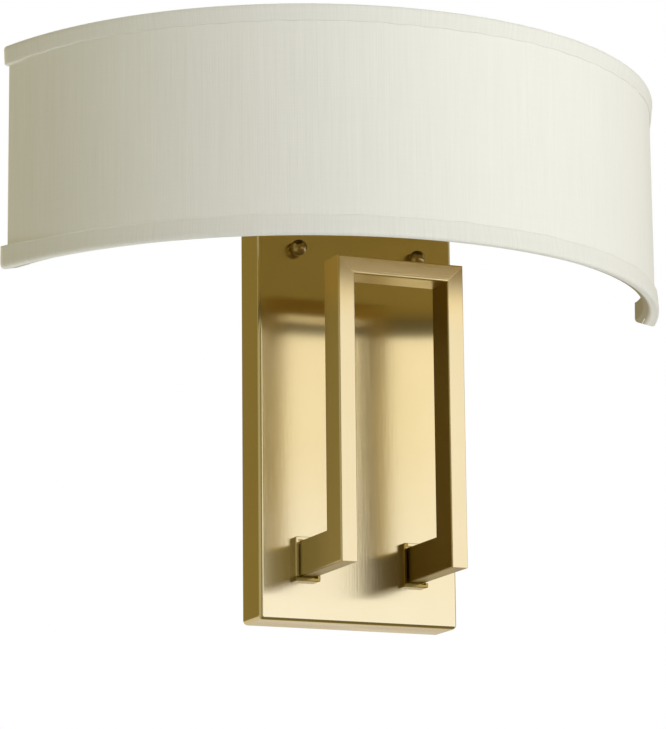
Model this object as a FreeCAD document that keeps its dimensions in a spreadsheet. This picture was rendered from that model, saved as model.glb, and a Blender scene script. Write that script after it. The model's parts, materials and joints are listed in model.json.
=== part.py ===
"""Wall light: a half-round linen shade on a pan-shaped back plate, with an inverted U of flat tube.

Millimetres, with +X to the right seen from the front, +Y into the wall and +Z up. The origin is on the
wall's surface, at the centre of the outlet box.
"""
import FreeCAD, Part
import math
import os
import re

import Sketcher

doc = FreeCAD.newDocument("wall_light")
dims = doc.addObject("Spreadsheet::Sheet", "dims")

SIZES = [
    # Back plate: a pan pressed from sheet, open towards the wall
    ("plate_width", 114.3),
    ("plate_height", 293.7),
    ("plate_depth", 23.5),
    ("plate_top", 92.0),
    ("plate_sheet", 1.5),
    ("plate_corner", 2.5),
    ("plate_edge", 2.2),
    # Mounting bar on the outlet box, and the two studs that carry the plate
    ("bar_length", 108.0),
    ("bar_height", 19.0),
    ("bar_sheet", 2.0),
    ("bar_corner", 3.0),
    ("box_hole_spacing", 88.9),
    ("box_slot_width", 4.6),
    ("box_slot_length", 12.0),
    ("bar_centre_hole", 5.2),
    ("stud_spacing", 69.85),
    ("stud_radius", 2.0),
    ("thread_gap", 0.05),
    ("hole_gap", 0.25),
    ("ball_radius", 4.4),
    ("ball_foot_radius", 3.6),
    ("ball_foot_height", 0.8),
    ("ball_foot_overlap", 0.4),
    ("ball_front_wall", 2.2),
    ("stud_end_gap", 1.2),
    ("turning_gap", 0.1),
    # Nuts and screws
    ("nut_half_width", 3.5),
    ("nut_height", 3.2),
    ("thread_past_nut", 1.3),
    ("screw_radius", 2.0),
    ("head_radius", 3.6),
    ("head_height", 2.4),
    ("earth_screw_x", 17.0),
    ("earth_head_radius", 4.4),
    # Inverted U of flat tube
    ("frame_width", 72.0),
    ("frame_height", 162.0),
    ("frame_foot_height", 23.2),
    ("frame_reach", 82.8),
    ("tube_narrow", 9.5),
    ("tube_deep", 19.05),
    ("tube_wall", 1.2),
    ("tube_round", 1.0),
    ("plug_length", 8.0),
    # Collars round the tube's ends
    ("collar_wall", 1.5),
    ("collar_gap", 0.8),
    ("collar_height", 4.5),
    ("collar_floor", 1.5),
    ("collar_round", 0.8),
    ("collar_edge", 0.4),
    # Half-round shade, cut from a drum by the wall
    ("shade_radius", 203.2),
    ("shade_depth", 141.0),
    ("shade_top", 103.5),
    ("shade_height", 123.2),
    ("shade_wall_gap", 1.0),
    ("fabric_sheet", 0.5),
    ("liner_sheet", 1.0),
    ("trim_outer_leaf", 1.65),
    ("trim_inner_leaf", 0.8),
    ("trim_fold", 1.2),
    ("top_trim_height", 9.5),
    ("bottom_trim_height", 11.0),
    ("trim_outer_round", 2.4),
    ("trim_inner_round", 1.6),
    ("wire_radius", 1.5),
    ("wire_seat", 0.05),
    ("end_hem_length", 12.0),
    # Strap and brackets that carry the shade
    ("strap_height", 20.0),
    ("strap_middle", 80.5),
    ("strap_sheet", 1.5),
    ("strap_corner", 3.0),
    ("strap_end_gap", 6.0),
    ("strap_screw_spacing", 80.0),
    ("bracket_sheet", 1.5),
    ("bracket_tab_length", 26.0),
    ("bracket_screw_inset", 16.0),
    ("bracket_liner_gap", 1.2),
    ("bracket_hole_gap", 0.25),
    ("hem_notch_gap", 1.0),
    ("thumb_head_radius", 6.0),
    ("thumb_head_height", 7.0),
    ("thumb_neck_radius", 4.0),
    ("thumb_neck_height", 1.5),
    ("thumb_grooves", 12.0),
    ("thumb_groove_radius", 0.7),
    ("thumb_shank", 8.0),
    ("thumb_chamfer", 0.6),
    ("rivet_nut_radius", 4.0),
    ("rivet_nut_length", 5.0),
    # Lamp bracket, lamp holders and bulbs
    ("lamp_height", 38.0),
    ("lamp_reach", 45.0),
    ("lamp_bracket_width", 40.0),
    ("lamp_bracket_height", 28.0),
    ("lamp_bracket_reach", 62.0),
    ("lamp_bracket_sheet", 1.5),
    ("lamp_bracket_corner", 6.0),
    ("bend_outer_radius", 2.0),
    ("bend_inner_radius", 0.5),
    ("lamp_screw_spacing", 24.0),
    ("nipple_radius", 4.8),
    ("nipple_bore", 3.4),
    ("nipple_inside", 6.5),
    ("nipple_outside", 4.0),
    ("nipple_end_gap", 0.3),
    ("holder_nut_half_width", 7.0),
    ("holder_nut_height", 3.0),
    ("holder_radius", 17.0),
    ("holder_length", 42.0),
    ("holder_wall", 2.2),
    ("holder_shoulder", 3.0),
    ("holder_floor", 9.0),
    ("holder_lip_height", 6.0),
    ("holder_lip_extra", 1.2),
    ("shell_radius", 13.9),
    ("shell_sheet", 0.5),
    ("shell_length", 25.0),
    ("contact_radius", 5.0),
    ("contact_height", 2.0),
    ("cap_gap", 0.3),
    ("cap_length", 26.0),
    ("cap_sheet", 0.5),
    ("cap_tip_radius", 4.5),
    ("cap_tip_height", 2.5),
    ("cap_shoulder", 4.0),
    ("bulb_radius", 30.0),
    ("bulb_neck_radius", 13.4),
    ("bulb_neck_length", 8.0),
    ("bulb_blend_radius", 42.0),
    ("bulb_wall", 0.8),
    ("bush_radius", 6.5),
    ("bush_wall", 1.2),
    ("bush_rim", 1.5),
    ("bush_rim_height", 1.5),
    ("bush_snap", 0.8),
    # Leads and connectors inside the pan
    ("lead_radius", 1.1),
    ("lead_pitch", 2.6),
    ("lead_layer", 1.5),
    ("lead_drop", 18.0),
    ("earth_lead_end", 3.0),
    ("connector_height", 20.0),
    ("connector_radius", 5.4),
    ("connector_end_radius", 3.6),
    ("connector_bore", 3.9),
    ("connector_bore_depth", 8.0),
    ("connector_pitch", 18.0),
    ("connector_mouth", -26.0),
    ("connector_reach", 11.0),
]
for row, (name, number) in enumerate(SIZES, start=1):
    dims.set(f"A{row}", name)
    dims.set(f"B{row}", str(number))
    dims.setAlias(f"B{row}", name)
doc.recompute()
NAMES = {name for name, _ in SIZES}

# Each bend of a lead takes up this share of the shorter run beside it
ARC_SHARE = 0.45

# Places that several pieces share, in the sheet's own terms
SHADE_AXIS = "(shade_radius - shade_depth)"
SHADE_BOTTOM = "(shade_top - shade_height)"
FABRIC_RADIUS = "(shade_radius - trim_outer_leaf)"
LINER_RADIUS = f"({FABRIC_RADIUS} - fabric_sheet)"
WIRE_OUTER = f"({LINER_RADIUS} - liner_sheet - wire_seat)"
WIRE_PATH = f"({WIRE_OUTER} - wire_radius)"
HEM_RADIUS = f"({WIRE_PATH} - wire_radius - wire_seat)"
TRIM_INNER = f"({HEM_RADIUS} - fabric_sheet - trim_inner_leaf)"
BEHIND_HEM = "(shade_wall_gap + fabric_sheet + wire_seat)"
END_WIRE_Y = f"({BEHIND_HEM} + wire_radius)"
END_WIRE_X = f"sqrt({WIRE_PATH} ^ 2 - ({SHADE_AXIS} + {END_WIRE_Y}) ^ 2)"
PAN_INSIDE = "(plate_depth - plate_sheet)"
PLATE_BOTTOM = "(plate_top - plate_height)"
FRAME_BOTTOM = f"({PLATE_BOTTOM} + frame_foot_height)"
FRAME_TOP = f"({FRAME_BOTTOM} + frame_height)"
RETURN_MIDDLE = f"({FRAME_BOTTOM} + tube_deep / 2)"
LEG_MIDDLE = "(frame_width / 2 - tube_narrow / 2)"
FRAME_BACK = "(frame_reach - tube_deep)"
TUBE_SEAT = "(plate_depth + collar_floor)"
STRAP_FRONT = "(plate_depth + strap_sheet)"
TAB_FRONT = f"({STRAP_FRONT} + bracket_sheet)"
BRACKET_OUTSIDE = (f"sqrt(({LINER_RADIUS} - liner_sheet - bracket_liner_gap) ^ 2"
                   f" - ({SHADE_AXIS} + {TAB_FRONT}) ^ 2)")
SHADE_SCREW_X = f"({BRACKET_OUTSIDE} - bracket_screw_inset)"
ARM_FACE = "(lamp_bracket_width / 2)"
HOLDER_FLOOR = f"({ARM_FACE} + holder_floor)"
HOLDER_MOUTH = f"({ARM_FACE} + holder_length)"
CAP_START = f"({HOLDER_FLOOR} + contact_height + turning_gap + cap_tip_height)"
CAP_END = f"({CAP_START} + cap_length)"
BALL_BORE_END = ("(plate_depth + turning_gap + 2 * ball_radius - ball_foot_overlap"
                 " - ball_front_wall)")
STUD_END = f"({BALL_BORE_END} - stud_end_gap)"
TOP_WIRE_Z = "(shade_top - trim_fold - wire_seat - wire_radius)"
BOTTOM_WIRE_Z = f"({SHADE_BOTTOM} + trim_fold + wire_seat + wire_radius)"
SCREW_PAST_NUT = "nut_height + thread_past_nut"
EARTH_SHANK = "-(bar_sheet + 2 * lead_radius)"
CAP_RADIUS = "(shell_radius - shell_sheet - cap_gap)"


def bound(text):
    """An expression in which each size's name points at its cell."""
    return re.sub(r"[a-z_]{3,}", lambda word: "dims." + word[0] if word[0] in NAMES else word[0], text)


def size(text):
    """The number that an expression on the sheet gives now."""
    return float(dims.evalExpression(bound(text)))


def vec(x, y, z=0.0):
    return FreeCAD.Vector(x, y, z)


def bind(thing, **texts):
    """Bind properties to expressions; a double underscore stands for a dot."""
    for prop, text in texts.items():
        thing.setExpression(prop.replace("__", "."), bound(text))
    return thing


def place(thing, x="0", y="0", z="0"):
    return bind(thing, Placement__Base__x=x, Placement__Base__y=y, Placement__Base__z=z)


# Sketches: every point and radius is bound to the sheet

def fix(sketch, curve, point, kind, text):
    """Fix one coordinate of a curve's point, measured from the sketch's origin."""
    if text == "0":
        axis = -2 if kind == "DistanceX" else -1
        sketch.addConstraint(Sketcher.Constraint("PointOnObject", curve, point, axis))
        return
    number = sketch.addConstraint(Sketcher.Constraint(kind, -1, 1, curve, point, size(text)))
    label = f"place_{number}"
    sketch.renameConstraint(number, label)
    sketch.setExpression(f"Constraints.{label}", bound(text))


def hold(sketch, curve, point, x, y):
    fix(sketch, curve, point, "DistanceX", x)
    fix(sketch, curve, point, "DistanceY", y)


def side(sketch, corner, here, after):
    """Draw one side of an outline and return its first and last point as (curve, point)."""
    if len(corner) == 2:
        curve = sketch.addGeometry(Part.LineSegment(here, after))
        return (curve, 1), (curve, 2)
    centre = vec(size(corner[2]), size(corner[3]))
    start, end = ((point - centre) for point in (here, after))
    angles = [math.atan2(start.y, start.x), math.atan2(end.y, end.x)]
    points = [1, 2]
    if corner[4] < 0:
        angles.reverse()
        points.reverse()
    circle_of_arc = Part.Circle(centre, vec(0, 0, 1), start.Length)
    curve = sketch.addGeometry(Part.ArcOfCircle(circle_of_arc, *angles))
    chord = after - here
    if abs(chord.y) > abs(chord.x):
        fix(sketch, curve, 3, "DistanceX", corner[2])
    else:
        fix(sketch, curve, 3, "DistanceY", corner[3])
    return (curve, points[0]), (curve, points[1])


def outline(sketch, corners):
    """A closed outline. A corner is (x, y), or (x, y, centre x, centre y, turn) where an arc starts,
    with a turn of 1 for anticlockwise and -1 for clockwise."""
    places = [vec(size(corner[0]), size(corner[1])) for corner in corners]
    sides = [side(sketch, corner, here, after)
             for corner, here, after in zip(corners, places, places[1:] + places[:1])]
    for (_, end), (start, _) in zip(sides, sides[1:] + sides[:1]):
        sketch.addConstraint(Sketcher.Constraint("Coincident", *end, *start))
    for (start, _), corner in zip(sides, corners):
        hold(sketch, *start, corner[0], corner[1])


def rectangle(sketch, left, right, low, high):
    outline(sketch, [(left, low), (right, low), (right, high), (left, high)])


def rounded(sketch, left, right, low, high, radius):
    """A rectangle whose corners are arcs of one radius."""
    near, far = f"({left}) + {radius}", f"({right}) - {radius}"
    under, over = f"({low}) + {radius}", f"({high}) - {radius}"
    outline(sketch, [
        (near, low), (far, low, far, under, 1),
        (right, under), (right, over, far, over, 1),
        (far, high), (near, high, near, over, 1),
        (left, over), (left, under, near, under, 1),
    ])


def slot(sketch, x, y, length, width):
    """A slot along the sketch's x axis, with half-round ends."""
    near, far = f"({x}) - ({length}) / 2 + ({width}) / 2", f"({x}) + ({length}) / 2 - ({width}) / 2"
    under, over = f"({y}) - ({width}) / 2", f"({y}) + ({width}) / 2"
    outline(sketch, [(near, under), (far, under, far, y, 1), (far, over), (near, over, near, y, 1)])


def hexagon(sketch, half_width):
    """A hexagon about the origin, with two flats square to the x axis."""
    half_side, corner = f"{half_width} / sqrt(3)", f"2 * {half_width} / sqrt(3)"
    outline(sketch, [(half_width, f"-{half_side}"), (half_width, half_side), ("0", corner),
                     (f"-{half_width}", half_side), (f"-{half_width}", f"-{half_side}"), ("0", f"-{corner}")])


def circle(sketch, x, y, radius):
    curve = sketch.addGeometry(Part.Circle(vec(size(x), size(y)), vec(0, 0, 1), size(radius)))
    hold(sketch, curve, 3, x, y)
    number = sketch.addConstraint(Sketcher.Constraint("Radius", curve, size(radius)))
    sketch.renameConstraint(number, f"radius_{number}")
    sketch.setExpression(f"Constraints.radius_{number}", bound(radius))


# Bodies and their features

def body(label):
    made = doc.addObject("PartDesign::Body", label)
    made.Label = label
    return made


def sketch_on(owner, role, name, along="0"):
    """A sketch on one of the body's own planes, moved along that plane's normal."""
    sketch = owner.newObject("Sketcher::SketchObject", f"{owner.Name}_{name}")
    plane = next(item for item in owner.Origin.OriginFeatures if item.Role == role)
    sketch.AttachmentSupport = [(plane, "")]
    sketch.MapMode = "FlatFace"
    return bind(sketch, AttachmentOffset__Base__z=along)


def pad(owner, sketch, length):
    feature = owner.newObject("PartDesign::Pad", sketch.Name + "_pad")
    feature.Profile = sketch
    return bind(feature, Length=length)


def pocket(owner, sketch, length=None):
    """Cut along the sketch's normal by a length, or right through both ways without one."""
    before = size_of(owner)
    feature = owner.newObject("PartDesign::Pocket", sketch.Name + "_pocket")
    feature.Profile = sketch
    if length is None:
        feature.Type = "ThroughAll"
        feature.Midplane = True
    else:
        feature.Reversed = True
        bind(feature, Length=length)
    if not size_of(owner) < before:
        raise RuntimeError(f"{feature.Name} cut nothing")
    return feature


def size_of(owner):
    doc.recompute()
    return owner.Shape.Volume


def revolve(owner, sketch, axis="V_Axis"):
    feature = owner.newObject("PartDesign::Revolution", sketch.Name + "_turned")
    feature.Profile = sketch
    feature.ReferenceAxis = (sketch, [axis])
    feature.Angle = 360
    return feature


def round_edges(owner, radius, wanted):
    """Fillet the edges of the body's last feature whose shape passes the test."""
    doc.recompute()
    base = owner.Tip
    names = [f"Edge{i}" for i, edge in enumerate(base.Shape.Edges, start=1) if wanted(edge)]
    feature = owner.newObject("PartDesign::Fillet", f"{owner.Name}_round_{len(owner.Group)}")
    feature.Base = (base, names)
    return bind(feature, Radius=radius)


def runs_along(edge, axis):
    """True for a straight edge that is parallel to the named axis."""
    spans = {"X": edge.BoundBox.XLength, "Y": edge.BoundBox.YLength, "Z": edge.BoundBox.ZLength}
    straight = isinstance(edge.Curve, Part.Line)
    return straight and all((span > 1e-6) == (name == axis) for name, span in spans.items())


def turned(label, corners, x="0", y="0", z="0", axis="Y"):
    """A turned piece, whose corners give the distance along the axis first and the radius second."""
    owner = body(label)
    sketch = sketch_on(owner, "XZ_Plane" if axis == "Z" else "XY_Plane", "profile")
    if axis == "X":
        outline(sketch, corners)
        revolve(owner, sketch, "H_Axis")
    else:
        swapped = [(corner[1], corner[0]) if len(corner) == 2 else
                   (corner[1], corner[0], corner[3], corner[2], corner[4]) for corner in corners]
        outline(sketch, swapped)
        revolve(owner, sketch, "V_Axis")
    return place(owner, x, y, z)


# Part primitives, mirrored pieces and groups

def primitive(kind, name, **texts):
    return bind(doc.addObject(kind, name), **texts)


def block(name, x0, x1, y0, y1, z0, z1):
    made = primitive("Part::Box", name, Length=f"({x1}) - ({x0})", Width=f"({y1}) - ({y0})",
                     Height=f"({z1}) - ({z0})")
    return place(made, x0, y0, z0)


def drum(name, radius, low, high):
    """A solid cylinder about the shade's own axis, which stands behind the wall's surface."""
    made = primitive("Part::Cylinder", name, Radius=radius, Height=f"({high}) - ({low})")
    return place(made, "0", SHADE_AXIS, low)


def cut(name, base, tool):
    made = doc.addObject("Part::Cut", name)
    made.Base = base
    made.Tool = tool
    return made


def common(name, *shapes):
    made = doc.addObject("Part::MultiCommon", name)
    made.Shapes = shapes
    return made


def fuse(name, *shapes):
    made = doc.addObject("Part::MultiFuse", name)
    made.Shapes = shapes
    return made


def mirrored(label, source):
    """The same piece on the other side of the middle plane."""
    made = doc.addObject("Part::Mirroring", label)
    made.Source = source
    made.Normal = vec(1, 0, 0)
    made.Label = label
    return made


def group(label, *pieces):
    """Identical loose pieces that share one name."""
    made = doc.addObject("Part::Compound", label)
    made.Links = list(pieces)
    made.Label = label
    return made


def pair(label, source):
    return group(label, source, mirrored(label + "_left", source))


def nut(label, half_width, height, bore, x, y, z, plane="XZ_Plane"):
    """A hexagon nut that starts at its place and grows along the plane's normal."""
    owner = body(label)
    sketch = sketch_on(owner, plane, "hexagon")
    hexagon(sketch, half_width)
    circle(sketch, "0", "0", bore)
    pad(owner, sketch, height)
    return place(owner, x, y, z)


def screw(label, shank, x, y, z, head_radius="head_radius", shank_radius="screw_radius"):
    """A pan-head screw along Y. Its head's seat is at its place, and a positive shank runs forwards."""
    towards = "-1" if not shank.startswith("-") else "1"
    length = shank.lstrip("-")
    return turned(label, [
        (f"{towards} * ({length})", "0"),
        (f"{towards} * ({length})", shank_radius),
        ("0", shank_radius),
        ("0", head_radius),
        (f"-({towards}) * head_height / 2", head_radius),
        (f"-({towards}) * head_height", f"{head_radius} / 2"),
        (f"-({towards}) * head_height", "0"),
    ], x, y, z)


# Back plate


def back_plate():
    owner = body("back_plate")
    sketch = sketch_on(owner, "XZ_Plane", "outline")
    rectangle(sketch, "-plate_width / 2", "plate_width / 2", PLATE_BOTTOM, "plate_top")
    pad(owner, sketch, "plate_depth")
    round_edges(owner, "plate_corner", lambda edge: runs_along(edge, "Y"))
    front = -size("plate_depth")
    round_edges(owner, "plate_edge", lambda edge: edge.BoundBox.YMax < front + 1e-6)
    doc.recompute()
    rounded_block = owner.Tip
    back = next(f"Face{i}" for i, face in enumerate(rounded_block.Shape.Faces, start=1)
                if face.BoundBox.YMin > -1e-6)
    hollow = owner.newObject("PartDesign::Thickness", "back_plate_hollow")
    hollow.Base = (rounded_block, [back])
    hollow.Reversed = True
    bind(hollow, Value="plate_sheet")
    holes = sketch_on(owner, "XZ_Plane", "holes")
    for sign in ("-", ""):
        circle(holes, f"{sign}stud_spacing / 2", "0", "stud_radius + hole_gap")
        circle(holes, f"{sign}{LEG_MIDDLE}", RETURN_MIDDLE, "screw_radius + hole_gap")
        circle(holes, f"{sign}lamp_screw_spacing / 2", "lamp_height", "screw_radius + hole_gap")
        circle(holes, f"{sign}strap_screw_spacing / 2", "strap_middle", "screw_radius + hole_gap")
    circle(holes, "0", "lamp_height", "bush_radius + hole_gap")
    pocket(owner, holes)
    return owner


# What carries the plate on the outlet box


def mounting_bar():
    owner = body("mounting_bar")
    sketch = sketch_on(owner, "XZ_Plane", "outline")
    rounded(sketch, "-bar_length / 2", "bar_length / 2", "-bar_height / 2", "bar_height / 2", "bar_corner")
    circle(sketch, "0", "0", "bar_centre_hole")
    circle(sketch, "earth_screw_x", "0", "screw_radius + thread_gap")
    for sign in ("-", ""):
        circle(sketch, f"{sign}stud_spacing / 2", "0", "stud_radius + thread_gap")
        slot(sketch, f"{sign}box_hole_spacing / 2", "0", "box_slot_length", "box_slot_width")
    pad(owner, sketch, "bar_sheet")
    return owner


def right_stud():
    corners = [("0", "0"), ("0", "stud_radius"), (f"-{STUD_END}", "stud_radius"), (f"-{STUD_END}", "0")]
    return turned("right_stud", corners, x="stud_spacing / 2")


def right_ball_nut():
    """A ball on a low round foot, with a blind bore for the stud."""
    seat = "(plate_depth + turning_gap)"
    middle = f"-({seat} + ball_radius - ball_foot_overlap)"
    foot = f"-({seat} + ball_foot_height)"
    start = "sqrt(ball_radius ^ 2 - (ball_radius - ball_foot_overlap - ball_foot_height) ^ 2)"
    bore = "stud_radius + thread_gap"
    return turned("right_ball_nut", [
        (f"-{seat}", bore),
        (f"-{seat}", "ball_foot_radius"),
        (foot, "ball_foot_radius"),
        (foot, start, middle, "0", -1),
        (f"{middle} - ball_radius", "0"),
        (f"-{BALL_BORE_END}", "0"),
        (f"-{BALL_BORE_END}", bore),
    ], x="stud_spacing / 2")


def cable_bush():
    """A snap bush through the lamp bracket and the plate, open for the leads."""
    bore = "bush_radius - bush_wall"
    rim, snap = "bush_radius + bush_rim", "bush_radius + bush_snap"
    seat = "-(plate_depth + lamp_bracket_sheet)"
    return turned("cable_bush", [
        (f"{seat} - bush_rim_height", bore),
        (f"{seat} - bush_rim_height", rim),
        (seat, rim),
        (seat, "bush_radius"),
        (f"-{PAN_INSIDE}", "bush_radius"),
        (f"-{PAN_INSIDE}", snap),
        (f"-{PAN_INSIDE} + bush_snap", snap),
        (f"-{PAN_INSIDE} + bush_rim_height", "bush_radius"),
        (f"-{PAN_INSIDE} + bush_rim_height", bore),
    ], z="lamp_height")


# Inverted U of flat tube: one mitred run of tube from collar to collar


def tube_path():
    """The centre line of the tube, from the left collar up, across and down to the right one."""
    leg, low, high = size(LEG_MIDDLE), size(RETURN_MIDDLE), size(f"{FRAME_TOP} - tube_narrow / 2")
    back, front = -size(TUBE_SEAT), -size("frame_reach - tube_deep / 2")
    path = doc.addObject("Part::Feature", "tube_path")
    path.Shape = Part.makePolygon([
        vec(-leg, back, low), vec(-leg, front, low), vec(-leg, front, high),
        vec(leg, front, high), vec(leg, front, low), vec(leg, back, low),
    ])
    return path


def swept_tube(name, path, inset, radius=None):
    """The flat tube's section, drawn in by an inset, swept along the path with mitred corners."""
    section = doc.addObject("Sketcher::SketchObject", name + "_section")
    section.Placement.Rotation = FreeCAD.Rotation(vec(1, 0, 0), 90)
    place(section, f"-{LEG_MIDDLE}", f"-{TUBE_SEAT}", RETURN_MIDDLE)
    wide, high = f"(tube_narrow / 2 - {inset})", f"(tube_deep / 2 - {inset})"
    if radius:
        rounded(section, f"-{wide}", wide, f"-{high}", high, radius)
    else:
        rectangle(section, f"-{wide}", wide, f"-{high}", high)
    sweep = doc.addObject("Part::Sweep", name)
    sweep.Sections = [section]
    sweep.Spine = (path, [f"Edge{i}" for i in range(1, len(path.Shape.Edges) + 1)])
    sweep.Solid = True
    sweep.Frenet = False
    sweep.Transition = "Right corner"
    return sweep


def u_frame():
    path = tube_path()
    made = cut("u_frame", swept_tube("tube_outside", path, "0", "tube_round"),
               swept_tube("tube_inside", path, "tube_wall"))
    made.Label = "u_frame"
    return made


def right_tube_plug():
    """A block brazed into the tube's end, tapped for the screw behind the plate."""
    owner = body("right_tube_plug")
    sketch = sketch_on(owner, "XZ_Plane", "section")
    wide, high = "(tube_narrow / 2 - tube_wall)", "(tube_deep / 2 - tube_wall)"
    rectangle(sketch, f"-{wide}", wide, f"-{high}", high)
    circle(sketch, "0", "0", "screw_radius + thread_gap")
    pad(owner, sketch, "plug_length")
    return place(owner, LEG_MIDDLE, f"-{TUBE_SEAT}", RETURN_MIDDLE)


def right_collar():
    """A shallow rectangular cup round the tube's end, with a floor that the tube stands on."""
    owner = body("right_collar")
    outside = sketch_on(owner, "XZ_Plane", "outside")
    wide = "(tube_narrow / 2 + collar_gap + collar_wall)"
    high = "(tube_deep / 2 + collar_gap + collar_wall)"
    rectangle(outside, f"-{wide}", wide, f"-{high}", high)
    pad(owner, outside, "collar_height")
    round_edges(owner, "collar_round", lambda edge: runs_along(edge, "Y"))
    front = -size("collar_height")
    round_edges(owner, "collar_edge", lambda edge: edge.BoundBox.YMax < front + 1e-6)
    inside = sketch_on(owner, "XZ_Plane", "inside", along="collar_floor")
    wide, high = "(tube_narrow / 2 + collar_gap)", "(tube_deep / 2 + collar_gap)"
    rectangle(inside, f"-{wide}", wide, f"-{high}", high)
    pocket(owner, inside, "collar_height")
    hole = sketch_on(owner, "XZ_Plane", "hole")
    circle(hole, "0", "0", "screw_radius + hole_gap")
    pocket(owner, hole)
    return place(owner, LEG_MIDDLE, "-plate_depth", RETURN_MIDDLE)


# Half-round shade


def sheet_wall(name, outer, inner, low, high, rear):
    """A stretch of cylinder wall in front of the plane that lies a given distance off the wall."""
    ring = cut(name + "_ring", drum(name + "_outer", outer, low, high),
               drum(name + "_inner", inner, low, high))
    kept = block(name + "_kept", "-shade_radius", "shade_radius", "-shade_radius", f"-({rear})", low, high)
    return common(name, ring, kept)


def shade_fabric():
    """One layer of cloth, turned round the end wires into a hem on the inside."""
    low = f"{SHADE_BOTTOM} + trim_fold + wire_seat"
    high = "shade_top - trim_fold - wire_seat"
    hem_inner = f"({HEM_RADIUS} - fabric_sheet)"
    front = sheet_wall("fabric_front", FABRIC_RADIUS, LINER_RADIUS, low, high, "shade_wall_gap")
    turned_in = sheet_wall("fabric_turned_in", FABRIC_RADIUS, hem_inner, low, high, "shade_wall_gap")
    strip = block("fabric_strip", "-shade_radius", "shade_radius", "-(shade_wall_gap + fabric_sheet)",
                  "-shade_wall_gap", low, high)
    hem = sheet_wall("fabric_hem", HEM_RADIUS, hem_inner, low, high, "shade_wall_gap")
    hem_kept = block("fabric_hem_kept", "-shade_radius", "shade_radius", "-(shade_wall_gap + end_hem_length)",
                     "-shade_wall_gap", low, high)
    notch = block("fabric_notch", "-shade_radius", "shade_radius", "-shade_depth",
                  "-(shade_wall_gap + fabric_sheet)", "strap_middle - strap_height / 2 - hem_notch_gap",
                  "strap_middle + strap_height / 2 + hem_notch_gap")
    made = fuse("shade_fabric", front, common("fabric_ends", turned_in, strip),
                cut("fabric_hems", common("fabric_hem_ends", hem, hem_kept), notch))
    made.Label = "shade_fabric"
    return made


def shade_liner():
    low = f"{SHADE_BOTTOM} + trim_fold + wire_seat"
    high = "shade_top - trim_fold - wire_seat"
    made = sheet_wall("shade_liner", LINER_RADIUS, f"({LINER_RADIUS} - liner_sheet)", low, high, BEHIND_HEM)
    made.Label = "shade_liner"
    return made


def cut_off_rear(owner, distance):
    """Remove what lies nearer to the wall than the distance, from a ring about the shade's axis."""
    sketch = sketch_on(owner, "XY_Plane", "rear")
    rectangle(sketch, "-2 * shade_radius", "2 * shade_radius", f"-({SHADE_AXIS} + {distance})",
              "2 * shade_radius")
    pocket(owner, sketch)


def trim(label, edge, inward, height):
    """The band along an edge: an outer leaf, a rounded fold over the edge and an inner leaf."""
    owner = body(label)
    sketch = sketch_on(owner, "XZ_Plane", "profile")
    turn = 1 if inward == "-" else -1

    def level(distance):
        return f"{edge} {inward} ({distance})"

    outer_start = "(shade_radius - trim_outer_round)"
    inner_start = f"({TRIM_INNER} + trim_inner_round)"
    leaf_back = f"({HEM_RADIUS} - fabric_sheet)"
    outline(sketch, [
        ("shade_radius", level(height)),
        ("shade_radius", level("trim_outer_round"), outer_start, level("trim_outer_round"), turn),
        (outer_start, level("0")),
        (inner_start, level("0"), inner_start, level("trim_inner_round"), turn),
        (TRIM_INNER, level("trim_inner_round")),
        (TRIM_INNER, level(height)),
        (leaf_back, level(height)),
        (leaf_back, level("trim_fold")),
        (FABRIC_RADIUS, level("trim_fold")),
        (FABRIC_RADIUS, level(height)),
    ])
    revolve(owner, sketch)
    cut_off_rear(owner, "shade_wall_gap")
    return place(owner, y=SHADE_AXIS)


def wire_ring(label, level):
    owner = body(label)
    sketch = sketch_on(owner, "XZ_Plane", "section")
    circle(sketch, WIRE_PATH, level, "wire_radius")
    revolve(owner, sketch)
    cut_off_rear(owner, BEHIND_HEM)
    return place(owner, y=SHADE_AXIS)


def right_end_wire():
    low = f"({BOTTOM_WIRE_Z} + wire_radius)"
    high = f"({TOP_WIRE_Z} - wire_radius)"
    made = primitive("Part::Cylinder", "right_end_wire", Radius="wire_radius", Height=f"{high} - {low}")
    return place(made, END_WIRE_X, f"-{END_WIRE_Y}", low)


# What carries the shade


def carrier_strap():
    owner = body("carrier_strap")
    sketch = sketch_on(owner, "XZ_Plane", "outline")
    end = f"({BRACKET_OUTSIDE} - strap_end_gap)"
    rounded(sketch, f"-{end}", end, "-strap_height / 2", "strap_height / 2", "strap_corner")
    for sign in ("-", ""):
        circle(sketch, f"{sign}strap_screw_spacing / 2", "0", "screw_radius + hole_gap")
        circle(sketch, f"{sign}{SHADE_SCREW_X}", "0", "screw_radius + bracket_hole_gap")
    pad(owner, sketch, "strap_sheet")
    return place(owner, y="-plate_depth", z="strap_middle")


def round_bends(owner, outer, inner):
    """Round the upright edges at each pair of points: the outside of a bend and its inside."""
    for radius, points in (("bend_outer_radius", outer), ("bend_inner_radius", inner)):
        places = [(size(x), size(y)) for x, y in points]
        round_edges(owner, radius, lambda edge: runs_along(edge, "Z") and any(
            abs(edge.BoundBox.XMin - x) < 1e-4 and abs(edge.BoundBox.YMin - y) < 1e-4 for x, y in places))


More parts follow.
